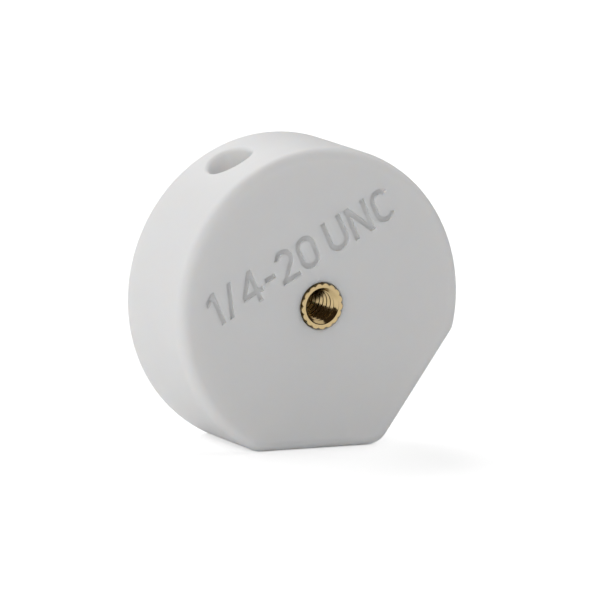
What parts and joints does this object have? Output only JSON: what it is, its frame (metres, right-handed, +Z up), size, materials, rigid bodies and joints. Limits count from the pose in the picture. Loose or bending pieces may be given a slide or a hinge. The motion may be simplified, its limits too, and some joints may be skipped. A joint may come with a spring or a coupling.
{
  "type": "tripod mounting puck",
  "caption": "Round plastic puck with a threaded brass tripod insert in its face, a rod socket in its rim and two flats to stand on.",
  "frame": {"origin": "on the lower flat that the puck stands on, straight below the disc's centre and at the middle of its thickness", "axes": "+Z up, -Y out of the face with the threaded insert, X across the disc"},
  "size_m": [0.054, 0.0208, 0.0518],
  "materials": {
    "puck_plastic": "matte, very fine grain",
    "insert_brass": "machined, satin"
  },
  "bodies": {
    "root": {"puck_body": "puck_plastic", "threaded_insert": "insert_brass"}
  },
  "joints": []
}
